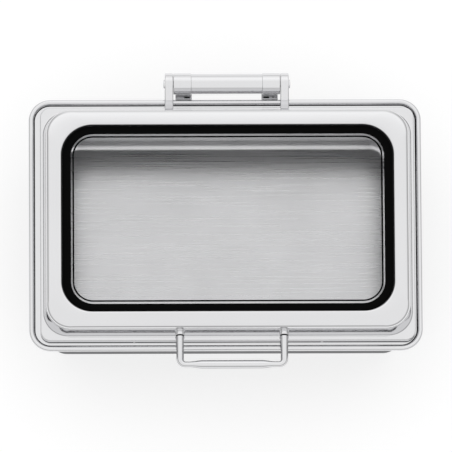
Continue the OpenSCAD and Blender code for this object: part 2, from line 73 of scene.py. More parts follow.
# Places that the frame gives
RIM_LOW, RIM_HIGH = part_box("water_pan")
FOOD_LOW, FOOD_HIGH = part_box("food_pan")
LID_LOW, LID_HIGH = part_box("lid_frame")
GLASS_LOW, GLASS_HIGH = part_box("window_glass")
GRIP_LOW, GRIP_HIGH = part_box("handle")
SHAFT_LOW, SHAFT_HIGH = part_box("hinge_shaft")
LID_X = (LID_LOW.x + LID_HIGH.x) / 2
AXIS = (SHAFT_LOW + SHAFT_HIGH) / 2
SIDES = {"left": -1, "right": 1}

# Angles of the pressings in degrees: end of the rolled rim under its bead, wall of the food pan, start
# of the rolled window edge, and wrap of the lid arms round the shaft
BEAD_END = -110
PAN_WALL = -7
LIP_START = 75
ARM_WRAP = 200

# Share of a slot's width that the rounding of each corner takes
SLOT_ROUND = 0.49

# Colour of the reflection at a flat angle on the handle's bar and on the satin wall, darkened as painted
# shade of the dark surroundings they reflect
BAR_EDGE_PAINTED_SHADE = (0.2, 0.2, 0.2)
WALL_EDGE_PAINTED_SHADE = (0.45, 0.45, 0.45)

# Stretch of the brushed grain: along the long side, and round the pan
LONG_GRAIN = (0.06, 6, 6)
ROUND_GRAIN = (0.06, 0.06, 6)

# Range of a noise pattern that is used
PATTERN_LOW, PATTERN_HIGH = 0.3, 0.7

# Studio: reach of the floor, sensor and far end of the camera, the floor's glow, and grey levels of the
# tent, from its foot to its top and from front to back
FLOOR_REACH = 20
SENSOR = 36
CLIP_END = 100
FLOOR_GLOW = 0.67
TENT_LIGHT = ((-1, 0.32), (0, 0.32), (0.35, 0.55), (0.65, 1.0))
BACK_LIGHT = ((-1, 1.0), (0.1, 1.0), (0.8, 1.2), (1, 2.0))


def length(name, description, default):
    """A length that the user can set."""
    return FloatProperty(name=name, description=description, default=default, unit="LENGTH", precision=4)


def colour(name, description, default):
    """A colour that the user can set."""
    return FloatVectorProperty(name=name, description=description, default=default, size=3,
                               min=0, max=1, subtype="COLOR")


class WaterPanSizes(PropertyGroup):
    """Sizes of the water pan"""
    rim_radius: length("Rim radius", "Corner radius over the rolled rim", 0.032)
    bead: length("Rolled rim", "Diameter of the rolled rim", 0.008)
    ledge_drop: length("Ledge drop", "Drop from the top of the rim to the ledge", 0.006)
    # The dark line at the joint of lid and rim is a black strip on the ledge: painted shade of the gap
    # between them.
    seam: length("Seam", "Distance from the outside of the rim to the dark seam", 0.0079)
    painted_shade_strip_width: length("Seam width", "Width of the dark seam", 0.0016)
    wall_width: length("Wall width", "Width over the lower wall", 0.515)
    wall_depth: length("Wall depth", "Depth over the lower wall", 0.320)
    wall_radius: length("Wall radius", "Corner radius of the lower wall", 0.026)
    floor_radius: length("Floor radius", "Radius between the lower wall and the floor", 0.005)
    ledge_radius: length("Ledge radius", "Radius between the ledge and the lower wall", 0.003)
    sheet: length("Sheet", "Thickness of the sheet", 0.0012)


class FoodPanSizes(PropertyGroup):
    """Sizes of the food pan"""
    flange_radius: length("Flange radius", "Corner radius of the flange", 0.024)
    mouth_width: length("Mouth width", "Width of the mouth outside", 0.505)
    mouth_depth: length("Mouth depth", "Depth of the mouth outside", 0.300)
    mouth_radius: length("Mouth radius", "Corner radius of the mouth", 0.040)
    lean: length("Lean", "Lean of the walls over their height", 0.008)
    floor_radius: length("Floor radius", "Radius between the walls and the floor", 0.012)
    edge_radius: length("Edge radius", "Radius between the flange and the walls", 0.003)
    sheet: length("Sheet", "Thickness of the sheet", 0.0009)


class LidSizes(PropertyGroup):
    """Sizes of the lid pressing"""
    skirt_radius: length("Skirt radius", "Corner radius of the skirt", 0.015)
    skirt_height: length("Skirt height", "Height of the upright skirt", 0.008)
    skirt_edge: length("Skirt edge", "Radius between the skirt and the flange", 0.002)
    dome_width: length("Dome width", "Width of the dome on the flange", 0.538)
    dome_depth: length("Dome depth", "Depth of the dome on the flange", 0.338)
    dome_radius: length("Dome radius", "Corner radius of the dome on the flange", 0.035)
    foot: length("Dome foot", "Radius between the flange and the dome", 0.0015)
    side_height: length("Side height", "Height of the leaning side of the dome", 0.020)
    side_lean: length("Side lean", "Lean of that side over its height", 0.0035)
    window_width: length("Window width", "Width of the window opening", 0.485)
    window_depth: length("Window depth", "Depth of the window opening", 0.2808)
    window_radius: length("Window radius", "Corner radius of the window opening", 0.045)
    lip: length("Window lip", "Radius of the rolled window edge", 0.0025)
    lip_drop: length("Lip drop", "Drop from the top of the lid to the end of the window edge", 0.006)
    sheet: length("Sheet", "Thickness of the sheet", 0.0012)
    fullness: FloatProperty(name="Fullness", default=5, min=2,
                            description="2 is an ellipse, more makes a flatter crown and a tighter bend")


class WindowSizes(PropertyGroup):
    """Sizes of the glass and its print"""
    glass_radius: length("Glass radius", "Corner radius of the glass", 0.051)
    bevel: length("Glass bevel", "Ground edge of the glass", 0.0005)
    border_width: length("Border width", "Width inside the printed border", 0.4575)
    border_depth: length("Border depth", "Depth inside the printed border", 0.2559)
    border_radius: length("Border radius", "Corner radius inside the printed border", 0.033)
    stripe_width: length("Pinstripe width", "Width over the middle of the pinstripe", 0.4507)
    stripe_depth: length("Pinstripe depth", "Depth over the middle of the pinstripe", 0.2476)
    stripe_radius: length("Pinstripe radius", "Corner radius of the pinstripe", 0.029)
    stripe: length("Pinstripe", "Breadth of the pinstripe", 0.0024)
    ink: length("Ink", "Thickness of the print", 0.00006)


class HandleSizes(PropertyGroup):
    """Sizes of the front handle"""
    leg: length("Leg", "Diameter of the legs", 0.011)
    bend: length("Bend", "Diameter of the legs where the bends start", 0.0105)
    bar: length("Bar", "Diameter of the bar beside the bends", 0.008)
    grip: length("Grip", "Diameter of the grip", 0.012)
    grip_length: length("Grip length", "Length of the thick part of the grip", 0.086)
    taper: length("Taper", "Length of each taper beside the grip", 0.020)
    bend_radius: length("Bend radius", "Radius of the bends at the middle of the bar", 0.0078)
    ferrule_edge: length("Ferrule edge", "Rounding of the ferrules", 0.0008)
    ring_edge: length("Ring edge", "Rounding of the black rings", 0.0003)
    ring_lap: length("Ring lap", "Lap of the black rings over the legs", 0.0004)


class HingeSizes(PropertyGroup):
    """Sizes of the hinge"""
    barrel_wall: length("Barrel wall", "Wall of the barrel", 0.002)
    bush: length("Bush", "Diameter of the bore for the bush", 0.0162)
    spigot: length("Spigot", "Length of the collar spigots in the barrel", 0.006)
    edge: length("Edge", "Rounding of the barrel and the collars", 0.0008)
    arm_edge: length("Arm edge", "Rounding of the lid arms", 0.0016)
    arm_height: length("Arm height", "Height of the lid arms beside the lid", 0.008)
    arm_clear: length("Arm clearance", "Clearance of the lid arms over the rim", 0.0008)
    arm_tab: length("Arm tab", "Thickness of the tab behind the skirt", 0.0035)
    arm_end: length("Arm end", "Diameter of the round end of the lid arms", 0.032)
    bracket_plate: length("Bracket plate", "Thickness of the brackets", 0.004)
    bracket_foot: length("Bracket foot", "Height of the foot of the brackets", 0.036)
    bracket_edge: length("Bracket edge", "Rounding of the brackets", 0.0006)
    slot_length: length("Slot length", "Length of the slot in each bracket", 0.009)
    slot_width: length("Slot width", "Width of the slot in each bracket", 0.0026)
    slot_back: length("Slot back", "Distance of the slot behind the rim", 0.0045)
    hole: length("Hole", "Diameter of the small hole in the right bracket", 0.002)
    slot_floor: length("Slot floor", "Depth of the slots and the hole", 0.0036)


class FinishColours(PropertyGroup):
    """Colours of the finishes"""
    polished: colour("Polished steel", "Colour of the polished steel", (0.76, 0.76, 0.77))
    satin: colour("Satin steel", "Colour of the satin steel", (0.62, 0.62, 0.63))
    # The wall colour is darker than the steel: painted shade of the shaded floor that the lower wall
    # reflects.
    wall: colour("Wall steel", "Colour of the satin outside of the lower wall", (0.36, 0.36, 0.37))
    aluminium: colour("Aluminium", "Colour of the heat spreading core", (0.72, 0.73, 0.74))
    print_black: colour("Print", "Colour of the printed border", (0.004, 0.004, 0.004))
    # The black silicone colour is also painted shade: the strip on the water pan's ledge and the floors of
    # the bracket slots.
    silicone: colour("Black silicone", "Colour of the gasket and the rings", (0.012, 0.012, 0.013))
    bumper: colour("Bumpers", "Colour of the bumpers", (0.80, 0.80, 0.78))
    bush: colour("Bushes", "Colour of the bushes", (0.85, 0.84, 0.78))
    damper: colour("Dampers", "Colour of the dampers", (0.10, 0.10, 0.11))
    floor: colour("Floor", "Colour of the studio floor", (0.4, 0.4, 0.4))


class StudioSettings(PropertyGroup):
    """Camera and light"""
    distance: length("Camera distance", "Distance of the camera from its target", 20.0)
    target_height: length("Target height", "Height of the camera's target", 0.146)
    right: length("Frame right", "Move of the frame to the right", 0.00085)
    down: length("Frame down", "Move of the frame downwards", 0.00187)
    tilt: FloatProperty(name="Tilt", description="Angle off the vertical, to the front",
                        default=radians(14.76), subtype="ANGLE")
    side: FloatProperty(name="Side", description="Angle off the vertical, to the side",
                        default=radians(0.80), subtype="ANGLE")
    roll: FloatProperty(name="Roll", description="Roll of the camera",
                        default=radians(-0.37), subtype="ANGLE")
    lens: FloatProperty(name="Lens", description="Focal length on a 36 mm sensor",
                        default=1090.0, unit="CAMERA")
    sky: FloatProperty(name="Sky", description="Strength of the even studio light", default=1.0, min=0)


class DishSettings(PropertyGroup):
    """All settings of the dish"""
    water_pan: PointerProperty(type=WaterPanSizes)
    food_pan: PointerProperty(type=FoodPanSizes)
    lid: PointerProperty(type=LidSizes)
    window: PointerProperty(type=WindowSizes)
    handle: PointerProperty(type=HandleSizes)
    hinge: PointerProperty(type=HingeSizes)
    colours: PointerProperty(type=FinishColours)
    studio: PointerProperty(type=StudioSettings)


# Shapes

def mix(a, b, share):
    """Value that lies a share of the way from a to b."""
    return a + (b - a) * share


def arc(across, up, radius, start, end, steps=ARC_STEPS):
    """Points of an arc in the plane of a profile, with its angles in degrees."""
    turns = [radians(mix(start, end, step / steps)) for step in range(steps + 1)]
    return [(across + radius * cos(turn), up + radius * sin(turn)) for turn in turns]


def rounded_loop(bm, middle, width, depth, radius, height):
    """Edges of a rounded rectangle that lies flat at a height."""
    place = Matrix.Translation((middle, 0, height)) @ Matrix.Diagonal((width, depth, 1, 1))
    corners = bmesh.ops.create_grid(bm, x_segments=1, y_segments=1, size=0.5, matrix=place)["verts"]
    rounded = bmesh.ops.bevel(bm, geom=corners, offset=radius, affect="VERTICES",
                              segments=CORNER_STEPS, profile=0.5, material=-1)["verts"]
    face = rounded[0].link_faces[0]
    edges = list(face.edges)
    bmesh.ops.delete(bm, geom=[face], context="FACES_ONLY")
    return edges


def loft(bm, middle, stations, closed):
    """Bridge rounded rectangles (width, depth, radius, height). A closed loft joins its ends, an open
    one has a flat floor on both. Gives the faces of each step.
    The rectangles are bridged as a tall tower, where no two lie in one plane, then let down."""
    loops = []
    for floor, (width, depth, radius, height) in enumerate(stations):
        loops.append(rounded_loop(bm, middle, width, depth, radius, floor * TOWER_STEP))
    steps = []
    for low, high in zip(loops, loops[1:] + (loops[:1] if closed else [])):
        steps.append(bmesh.ops.bridge_loops(bm, edges=low + high)["faces"])
    if not closed:
        for loop in (loops[0], loops[-1]):
            bmesh.ops.edgeloop_fill(bm, edges=loop)
    for floor, (loop, station) in enumerate(zip(loops, stations)):
        corners = list(dict.fromkeys(vert for edge in loop for vert in edge.verts))
        bmesh.ops.translate(bm, verts=corners, vec=(0, 0, station[3] - floor * TOWER_STEP))
    return steps


def turned(bm, profile, place):
    """Spin a profile of (along, radius) points round the X axis, then place it. The profile is closed,
    unless it starts and ends on the axis."""
    made = [bm.verts.new((along, 0, radius)) for along, radius in profile]
    on_axis = max(profile[0][1], profile[-1][1]) < MERGE
    edges = [bm.edges.new(pair) for pair in zip(made, made[1:] + ([] if on_axis else made[:1]))]
    bmesh.ops.spin(bm, geom=made + edges, cent=(0, 0, 0), axis=(1, 0, 0), angle=tau,
                   steps=ROUND_STEPS, use_merge=True)
    bmesh.ops.remove_doubles(bm, verts=bm.verts, dist=MERGE)
    bmesh.ops.transform(bm, matrix=place, verts=bm.verts)


def swept(bm, places):
    """Sweep a ring of radius 1 through places, each of which also scales it."""
    made = bmesh.ops.create_circle(bm, cap_ends=True, segments=ROUND_STEPS // 2, radius=1, matrix=places[0])
    face = made["verts"][0].link_faces[0]
    for place, last in zip(places[1:], places):
        grown = bmesh.ops.extrude_face_region(bm, geom=[face, *face.edges])["geom"]
        face = next(item for item in grown if isinstance(item, bmesh.types.BMFace))
        bmesh.ops.transform(bm, matrix=place @ last.inverted(), verts=face.verts)


def prism(bm, chain, reach):
    """Close an outline by a chain of vertices, and extrude it along X."""
    for pair in zip(chain, chain[1:]):
        bm.edges.new(pair)
    face = bmesh.ops.contextual_create(bm, geom=bm.edges[:])["faces"]
    made = bmesh.ops.extrude_face_region(bm, geom=face)["geom"]
    moved = [item for item in made if isinstance(item, bmesh.types.BMVert)]
    bmesh.ops.translate(bm, verts=moved, vec=(reach, 0, 0))
    bmesh.ops.recalc_face_normals(bm, faces=bm.faces)


def turned_place(middle, turn):
    """Place at a middle, turned about the upright axis by an angle in degrees."""
    return Matrix.Translation(middle) @ Matrix.Rotation(radians(turn), 4, "Z")


def hinge_arc(bm, start, angle, steps):
    """Draw an arc from a vertex round the hinge's axis. Gives its last vertex."""
    end = bmesh.ops.spin(bm, geom=[start], cent=(start.co.x, AXIS.y, AXIS.z), axis=(1, 0, 0),
                         angle=angle, steps=steps)["geom_last"]
    return next(item for item in end if isinstance(item, bmesh.types.BMVert))


def round_edges(bm, radius, least=60, segments=3):
    """Round the edges that turn by more than an angle in degrees."""
    sharp = [edge for edge in bm.edges if edge.is_manifold and edge.calc_face_angle() > radians(least)]
    bmesh.ops.bevel(bm, geom=sharp, offset=radius, affect="EDGES", segments=segments,
                    profile=0.5, material=-1)


def finish(name, bm, body, materials, nodes):
    """Make a piece of a bmesh: it rides on a body and stands for CAD nodes."""
    bmesh.ops.recalc_face_normals(bm, faces=bm.faces)
    mesh = bpy.data.meshes.new(name)
    bm.to_mesh(mesh)
    bm.free()
    mesh.shade_smooth()
    mesh.set_sharp_from_angle(angle=SMOOTH_ANGLE)
    for material in materials:
        mesh.materials.append(material)
    made = bpy.data.objects.new(name, mesh)
    bpy.context.scene.collection.objects.link(made)
    even = made.modifiers.new("Even shading", "WEIGHTED_NORMAL")
    even.keep_sharp = True
    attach(made, body)
    if nodes:
        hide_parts(*nodes)
    return made


def dress(material, *nodes):
    """Give CAD nodes a finish."""
    for node in nodes:
        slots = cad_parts[node].data.materials
        slots.clear()
        slots.append(material)


# Finishes

def new_finish(name, base, metallic, roughness):
    """Material with its node tree and shader."""
    material = bpy.data.materials.new(name)
    material.use_nodes = True
    shader = material.node_tree.nodes["Principled BSDF"]
    shader.inputs["Base Color"].default_value = (*base, 1)
    shader.inputs["Metallic"].default_value = metallic
    shader.inputs["Roughness"].default_value = roughness
    return material, material.node_tree, shader


def noise(tree, scale, detail, stretch=(1, 1, 1)):
    """Noise on the piece's own coordinates."""
    place = tree.nodes.new("ShaderNodeTexCoord")
    turn = tree.nodes.new("ShaderNodeMapping")
    turn.inputs["Scale"].default_value = stretch
    made = tree.nodes.new("ShaderNodeTexNoise")
    made.inputs["Scale"].default_value = scale
    made.inputs["Detail"].default_value = detail
    tree.links.new(place.outputs["Object"], turn.inputs["Vector"])
    tree.links.new(turn.outputs["Vector"], made.inputs["Vector"])
    return made.outputs["Fac"]


def vary(tree, socket, value, low, high):
    """Drive a socket by a pattern, from a low to a high value."""
    spread = tree.nodes.new("ShaderNodeMapRange")
    spread.inputs["From Min"].default_value = PATTERN_LOW
    spread.inputs["From Max"].default_value = PATTERN_HIGH
    spread.inputs["To Min"].default_value = low
    spread.inputs["To Max"].default_value = high
    tree.links.new(value, spread.inputs["Value"])
    tree.links.new(spread.outputs["Result"], socket)


def tint(tree, socket, value, low, high):
    """Drive a colour socket by a pattern, from a low to a high colour."""
    ramp = tree.nodes.new("ShaderNodeValToRGB")
    ramp.color_ramp.elements[0].position = PATTERN_LOW
    ramp.color_ramp.elements[0].color = (*low, 1)
    ramp.color_ramp.elements[1].position = PATTERN_HIGH
    ramp.color_ramp.elements[1].color = (*high, 1)
    tree.links.new(value, ramp.inputs["Fac"])
    tree.links.new(ramp.outputs["Color"], socket)


def shade(base, share):
    """Colour times a share."""
    return tuple(channel * share for channel in base)


def relief(tree, shader, height, depth):
    """Bump a surface by a pattern, with its depth in metres."""
    bump = tree.nodes.new("ShaderNodeBump")
    bump.inputs["Distance"].default_value = depth
    bump.inputs["Strength"].default_value = 1
    tree.links.new(height, bump.inputs["Height"])
    tree.links.new(bump.outputs["Normal"], shader.inputs["Normal"])


def polished_steel(name, base, edge=(1, 1, 1)):
    """Mirror polished steel with the soft waves of a pressing and faint wipe marks."""
    material, tree, shader = new_finish(name, base, metallic=1, roughness=0.06)
    # An edge colour under white darkens the reflection at a flat angle: painted shade.
    shader.inputs["Specular Tint"].default_value = (*edge, 1)
    vary(tree, shader.inputs["Roughness"], noise(tree, scale=14, detail=5), low=0.04, high=0.09)
    tint(tree, shader.inputs["Base Color"], noise(tree, scale=5, detail=2), shade(base, 0.97), base)
    relief(tree, shader, noise(tree, scale=15, detail=1), depth=0.00012)
    return material


def satin_steel(name, base, stretch, edge=(1, 1, 1)):
    """Brushed sheet, with its grain along the ways that the stretch keeps short."""
    material, tree, shader = new_finish(name, base, metallic=1, roughness=0.3)
    # An edge colour under white darkens the reflection at a flat angle: painted shade.
    shader.inputs["Specular Tint"].default_value = (*edge, 1)
    grain = noise(tree, scale=90, detail=3, stretch=stretch)
    vary(tree, shader.inputs["Roughness"], grain, low=0.24, high=0.36)
    tint(tree, shader.inputs["Base Color"], noise(tree, scale=12, detail=4), shade(base, 0.93), base)
    relief(tree, shader, grain, depth=0.00001)
    return material


def aluminium(base):
    """Rolled plate with coarse grain."""
    material, tree, shader = new_finish("rolled_aluminium", base, metallic=1, roughness=0.4)
    grain = noise(tree, scale=60, detail=4, stretch=(0.1, 4, 4))
    vary(tree, shader.inputs["Roughness"], grain, low=0.34, high=0.5)
    relief(tree, shader, grain, depth=0.00002)
    return material


def clear_glass():
    """Coated glass with hardly any reflection."""
    material, _, shader = new_finish("clear_glass", (1, 1, 1), metallic=0, roughness=0)
    shader.inputs["Transmission Weight"].default_value = 1
    shader.inputs["IOR"].default_value = 1.15
    return material


def black_print(base):
    """Fired black print with a fine grain."""
    material, tree, shader = new_finish("black_print", base, metallic=0, roughness=0.7)
    shader.inputs["Specular IOR Level"].default_value = 0
    vary(tree, shader.inputs["Roughness"], noise(tree, scale=900, detail=2), low=0.6, high=0.8)
    return material


def rubber(name, base, roughness, gloss=0.5):
    """Moulded silicone or plastic with a fine matt grain."""
    material, tree, shader = new_finish(name, base, metallic=0, roughness=roughness)
    shader.inputs["Specular IOR Level"].default_value = gloss
    vary(tree, shader.inputs["Roughness"], noise(tree, scale=400, detail=3),
         low=roughness - 0.06, high=roughness + 0.06)
    tint(tree, shader.inputs["Base Color"], noise(tree, scale=60, detail=3), shade(base, 0.85), base)
    relief(tree, shader, noise(tree, scale=1200, detail=2), depth=0.00001)
    return material


def finishes():
    """The materials by name, made once."""
    colours = bpy.context.scene.chafing_dish.colours
    makers = {
        "mirror_steel": lambda: polished_steel("mirror_steel", colours.polished),
        # The bar steel's dark edge colour is painted shade in its reflection at a flat angle.
        "bar_steel": lambda: polished_steel("bar_steel", colours.polished, BAR_EDGE_PAINTED_SHADE),
        "brushed_steel": lambda: satin_steel("brushed_steel", colours.satin, LONG_GRAIN),
        # The wall steel is satin, with a darker colour that is painted shade of the shaded floor it reflects.
        "wall_steel_painted_shade": lambda: satin_steel("wall_steel_painted_shade", colours.wall, ROUND_GRAIN, WALL_EDGE_PAINTED_SHADE),
        "rolled_aluminium": lambda: aluminium(colours.aluminium),
        "clear_glass": clear_glass,
        "black_print": lambda: black_print(colours.print_black),
        # Black rubber of the gasket and the rings, also used as painted shade on the ledge strip and in the
        # bracket slots.
        "black_rubber_and_painted_shade": lambda: rubber("black_rubber_and_painted_shade", colours.silicone, roughness=0.55, gloss=0.1),
        "clear_rubber": lambda: rubber("clear_rubber", colours.bumper, roughness=0.45),
        "bush_acetal": lambda: rubber("bush_acetal", colours.bush, roughness=0.35),
        "damper_nylon": lambda: rubber("damper_nylon", colours.damper, roughness=0.5),
    }
    return {name: bpy.data.materials.get(name) or make() for name, make in makers.items()}


# Pieces

class DISH_OT_water_pan(Operator):
    """Model the water pan with its rolled rim and ledge, and a black strip on the ledge that is painted shade
    of the gap under the lid
    """
    bl_idname = "dish.water_pan"
    bl_label = "Water pan"

    def execute(self, context):
        sizes = context.scene.chafing_dish.water_pan
        finish_of = finishes()
        rim = RIM_HIGH - RIM_LOW
        top = RIM_HIGH.z
        ledge = top - sizes.ledge_drop
        under = ledge - sizes.sheet
        floor = RIM_LOW.z
        bead = sizes.bead / 2
        bend = floor + sizes.floor_radius
        lip = sizes.ledge_radius
        foot_angle = 180 + degrees(asin((sizes.ledge_drop - bead) / bead))

        def on_rim(across, height):
            return rim.x + 2 * across, rim.y + 2 * across, sizes.rim_radius + across, height

        def on_wall(across, height):
            return (sizes.wall_width + 2 * across, sizes.wall_depth + 2 * across,
                    sizes.wall_radius + across, height)

        inner = bead - sizes.sheet
        stations = [on_wall(*p) for p in arc(-sizes.floor_radius, bend, sizes.floor_radius, -90, 0)]
        stations += [on_wall(*p) for p in arc(lip, under - lip, lip, 180, 90, FILLET_STEPS)]
        satin = len(stations)
        stations += [on_rim(sizes.sheet - sizes.bead, under)]
        stations += [on_rim(*p) for p in arc(-bead, top - bead, inner, foot_angle, BEAD_END, 3 * ARC_STEPS)]
        stations += [on_rim(*p) for p in arc(-bead, top - bead, bead, BEAD_END, foot_angle, 3 * ARC_STEPS)]
        seam = len(stations)
        stations += [on_rim(-sizes.seam, ledge), on_rim(-sizes.seam - sizes.painted_shade_strip_width, ledge)]
        stations += [on_wall(*p) for p in arc(lip, ledge - lip - sizes.sheet, lip + sizes.sheet, 90, 180,
                                              FILLET_STEPS)]
        stations += [on_wall(*p) for p in arc(-sizes.floor_radius, bend, sizes.floor_radius - sizes.sheet,
                                              0, -90)]
        bm = bmesh.new()
        steps = loft(bm, 0, stations, closed=False)
        # This strip of the ledge is black: painted shade of the gap under the lid's skirt.
        for face in steps[seam]:
            face.material_index = 1
        # The lower wall gets the darker wall steel: painted shade.
        for step in steps[:satin]:
            for face in step:
                face.material_index = 2
        finish("water_pan_shell", bm, "dish",
               [finish_of["mirror_steel"], finish_of["black_rubber_and_painted_shade"], finish_of["wall_steel_painted_shade"]], ["water_pan"])
        return {"FINISHED"}


class DISH_OT_food_pan(Operator):
    """Model the lift-out food pan"""
    bl_idname = "dish.food_pan"
    bl_label = "Food pan"

    def execute(self, context):
        sizes = context.scene.chafing_dish.food_pan
        flange = FOOD_HIGH - FOOD_LOW
        top = FOOD_HIGH.z
        floor = FOOD_LOW.z
        sheet = sizes.sheet
        edge = sizes.edge_radius
        middle = -sizes.lean - sizes.floor_radius
        bend = floor + sizes.floor_radius

        def on_mouth(across, height):
            return (sizes.mouth_width + 2 * across, sizes.mouth_depth + 2 * across,
                    sizes.mouth_radius + across, height)

        stations = [on_mouth(*p) for p in arc(middle, bend, sizes.floor_radius, -90, PAN_WALL)]
        stations += [on_mouth(*p) for p in arc(edge, top - sheet - edge, edge, 180 + PAN_WALL, 90, LIP_STEPS)]
        stations += [(flange.x, flange.y, sizes.flange_radius, top - sheet)]
        stations += [(flange.x, flange.y, sizes.flange_radius, top)]
        stations += [on_mouth(*p) for p in arc(edge, top - sheet - edge, edge + sheet, 90, 180 + PAN_WALL,
                                               LIP_STEPS)]
        stations += [on_mouth(*p) for p in arc(middle, bend, sizes.floor_radius - sheet, PAN_WALL, -90)]
        bm = bmesh.new()
        loft(bm, 0, stations, closed=False)
        finish("food_pan_shell", bm, "food_pan", [finishes()["brushed_steel"]], ["food_pan"])
        return {"FINISHED"}


class DISH_OT_lid(Operator):
    """Model the lid pressing with its skirt, dome and rolled window edge"""
    bl_idname = "dish.lid"
    bl_label = "Lid"

    def execute(self, context):
        sizes = context.scene.chafing_dish.lid
        skirt = LID_HIGH - LID_LOW
        flange = LID_LOW.z + sizes.skirt_height
        top = LID_HIGH.z
        sheet = sizes.sheet
        run = (sizes.dome_width - sizes.window_width) / 2
        roll = run - sizes.lip
        side_top = flange + sizes.side_height
        lean = sizes.side_lean / sizes.side_height
        lip_end = top - sizes.lip_drop

        def on_skirt(inset, height):
            return skirt.x - 2 * inset, skirt.y - 2 * inset, sizes.skirt_radius - inset, height

        def on_dome(inset, height):
            share = inset / run
            return (mix(sizes.dome_width, sizes.window_width, share),
                    mix(sizes.dome_depth, sizes.window_depth, share),
                    mix(sizes.dome_radius, sizes.window_radius, share), height)

        def shoulder(off):
            """Points over the shoulder, a distance under its outer face."""
            steps = 3 * ARC_STEPS
            turns = [radians(90 * (step / steps) ** 2) for step in range(steps + 1)]
            rounds = [(cos(turn), sin(turn) ** (2 / sizes.fullness)) for turn in turns]
            return [(sizes.side_lean + (roll - sizes.side_lean) * (1 - out) + off * out,
                     side_top + (top - side_top - off) * up) for out, up in rounds]

        def foot(radius, height):
            """Points of the fillet between the flange and the leaning side."""
            across = sizes.foot * (lean - hypot(1, lean))
            return arc(across, height, radius, -90, -degrees(atan(lean)), FILLET_STEPS)

        edge = sizes.skirt_edge
        stations = [on_skirt(0, LID_LOW.z)]
        stations += [on_skirt(*p) for p in arc(edge, flange - edge, edge, 180, 90, LIP_STEPS)]
        stations += [on_dome(*p) for p in foot(sizes.foot, flange + sizes.foot)]
        stations += [on_dome(*p) for p in shoulder(0)]
        stations += [on_dome(*p) for p in arc(roll, top - sizes.lip, sizes.lip, LIP_START, 0, LIP_STEPS)]
        stations += [on_dome(run, lip_end), on_dome(run - sheet, lip_end)]
        stations += [on_dome(*p) for p in arc(roll, top - sizes.lip, sizes.lip - sheet, 0, LIP_START,
                                              LIP_STEPS)]
        stations += [on_dome(*p) for p in reversed(shoulder(sheet))]
        stations += [on_dome(*p) for p in reversed(foot(sizes.foot + sheet, flange + sizes.foot))]
        stations += [on_skirt(*p) for p in arc(edge, flange - edge, edge - sheet, 90, 180, INNER_STEPS)]
        stations += [on_skirt(sheet, LID_LOW.z)]
        bm = bmesh.new()
        loft(bm, LID_X, stations, closed=True)
        finish("lid_shell", bm, "lid", [finishes()["mirror_steel"]], ["lid_frame"])
        return {"FINISHED"}


class DISH_OT_window(Operator):
    """Model the glass with its printed border and pinstripe"""
    bl_idname = "dish.window"
    bl_label = "Window"

    def execute(self, context):
        sizes = context.scene.chafing_dish.window
        lid = context.scene.chafing_dish.lid
        finish_of = finishes()
        glass = GLASS_HIGH - GLASS_LOW
        bevel = sizes.bevel

        def on_glass(inset, height):
            return glass.x - 2 * inset, glass.y - 2 * inset, sizes.glass_radius - inset, height

        bm = bmesh.new()
        loft(bm, LID_X, [on_glass(bevel, GLASS_LOW.z), on_glass(0, GLASS_LOW.z + bevel),
                         on_glass(0, GLASS_HIGH.z - bevel), on_glass(bevel, GLASS_HIGH.z)], closed=False)
        finish("window_pane", bm, "lid", [finish_of["clear_glass"]], ["window_glass"])

        def printed(name, outer, inner):
            low = GLASS_HIGH.z + sizes.ink
            high = low + sizes.ink
            bm = bmesh.new()
            loft(bm, LID_X, [(*outer, low), (*outer, high), (*inner, high), (*inner, low)], closed=True)
            finish(name, bm, "lid", [finish_of["black_print"]], [])

        edge = lid.sheet + sizes.ink
        printed("window_border",
                (lid.window_width - 2 * edge, lid.window_depth - 2 * edge, lid.window_radius - edge),
                (sizes.border_width, sizes.border_depth, sizes.border_radius))
        half = sizes.stripe / 2
        outline = Vector((2, 2, 1)) * half
        line = Vector((sizes.stripe_width, sizes.stripe_depth, sizes.stripe_radius))
        printed("window_pinstripe", line + outline, line - outline)
        return {"FINISHED"}


